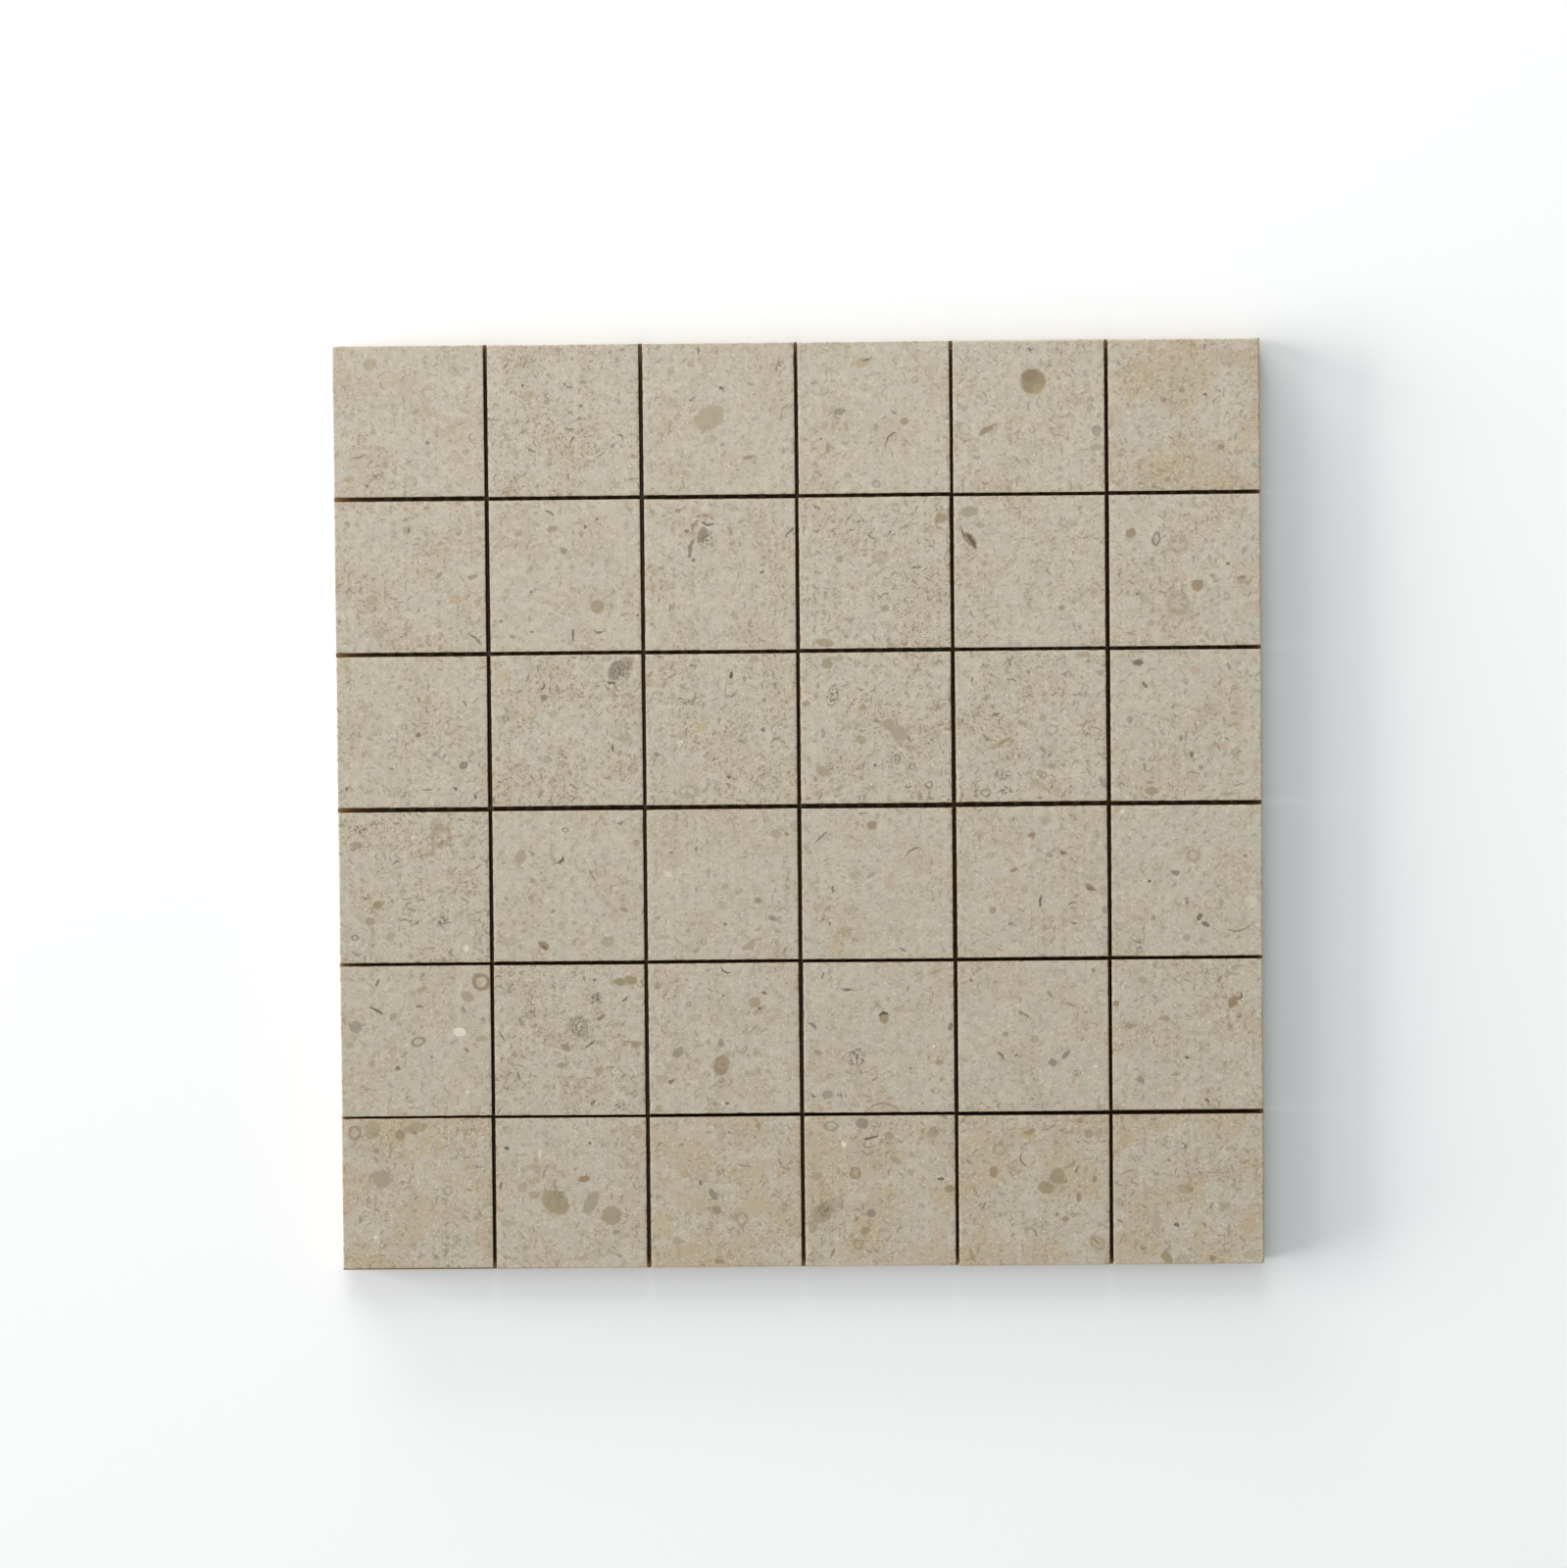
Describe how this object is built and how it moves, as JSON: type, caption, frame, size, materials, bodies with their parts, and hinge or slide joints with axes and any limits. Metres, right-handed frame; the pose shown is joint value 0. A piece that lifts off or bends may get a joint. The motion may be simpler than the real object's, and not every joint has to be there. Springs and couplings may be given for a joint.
{
  "type": "mosaic tile sheet",
  "caption": "Square sheet of limestone-look porcelain mosaic chips on a glass-fibre net, for bedding in adhesive on a floor or wall.",
  "frame": {"origin": "under the middle of the sheet, on the plane that the net lies on", "axes": "+Z out of the tile face, +X and +Y along the sheet's edges; the wider open joints are at the +Y end"},
  "size_m": [0.2993, 0.2999, 0.0099],
  "materials": {
    "porcelain": "matte",
    "glass_fibre_net": "matte"
  },
  "bodies": {
    "root": {"chip_r1c1": "porcelain", "chip_r1c2": "porcelain", "chip_r1c3": "porcelain", "chip_r1c4": "porcelain", "chip_r1c5": "porcelain", "chip_r1c6": "porcelain", "chip_r2c1": "porcelain", "chip_r2c2": "porcelain", "chip_r2c3": "porcelain", "chip_r2c4": "porcelain", "chip_r2c5": "porcelain", "chip_r2c6": "porcelain", "chip_r3c1": "porcelain", "chip_r3c2": "porcelain", "chip_r3c3": "porcelain", "chip_r3c4": "porcelain", "chip_r3c5": "porcelain", "chip_r3c6": "porcelain", "chip_r4c1": "porcelain", "chip_r4c2": "porcelain", "chip_r4c3": "porcelain", "chip_r4c4": "porcelain", "chip_r4c5": "porcelain", "chip_r4c6": "porcelain", "chip_r5c1": "porcelain", "chip_r5c2": "porcelain", "chip_r5c3": "porcelain", "chip_r5c4": "porcelain", "chip_r5c5": "porcelain", "chip_r5c6": "porcelain", "chip_r6c1": "porcelain", "chip_r6c2": "porcelain", "chip_r6c3": "porcelain", "chip_r6c4": "porcelain", "chip_r6c5": "porcelain", "chip_r6c6": "porcelain", "net_band_1": "glass_fibre_net", "net_band_2": "glass_fibre_net", "net_band_3": "glass_fibre_net", "net_band_4": "glass_fibre_net", "net_band_5": "glass_fibre_net", "net_band_6": "glass_fibre_net", "net_band_7": "glass_fibre_net"}
  },
  "joints": []
}
